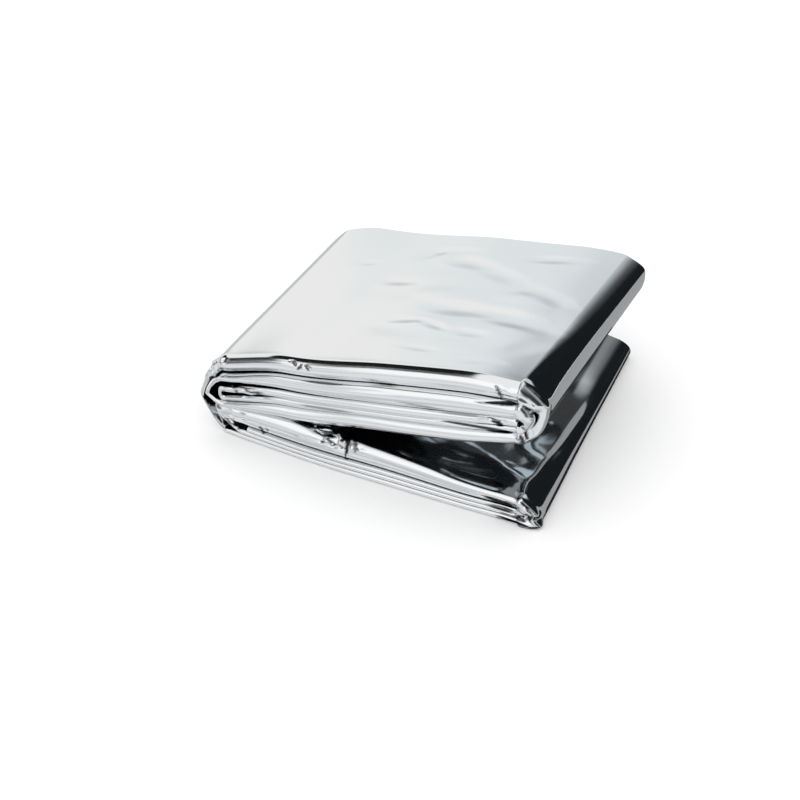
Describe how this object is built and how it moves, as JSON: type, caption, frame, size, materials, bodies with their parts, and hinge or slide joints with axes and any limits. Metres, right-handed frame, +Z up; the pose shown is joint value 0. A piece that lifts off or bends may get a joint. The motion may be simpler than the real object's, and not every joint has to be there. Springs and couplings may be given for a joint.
{
  "type": "emergency foil blanket, folded",
  "caption": "Silver foil emergency blanket, folded into a flat square bundle that lies slightly open like a book on its folded spine.",
  "frame": {"origin": "middle of the blanket's bounding box, on the surface that it lies on", "axes": "+Z up, +X from the folded spine towards the end where the two bundles gape, -Y towards the long front side with the rolled fold edges"},
  "size_m": [0.166, 0.1426, 0.0638],
  "materials": {
    "film": "mirror-bright aluminium coating on thin polyester film, softly creased"
  },
  "bodies": {
    "root": {"foil_blanket": "film"}
  },
  "joints": []
}
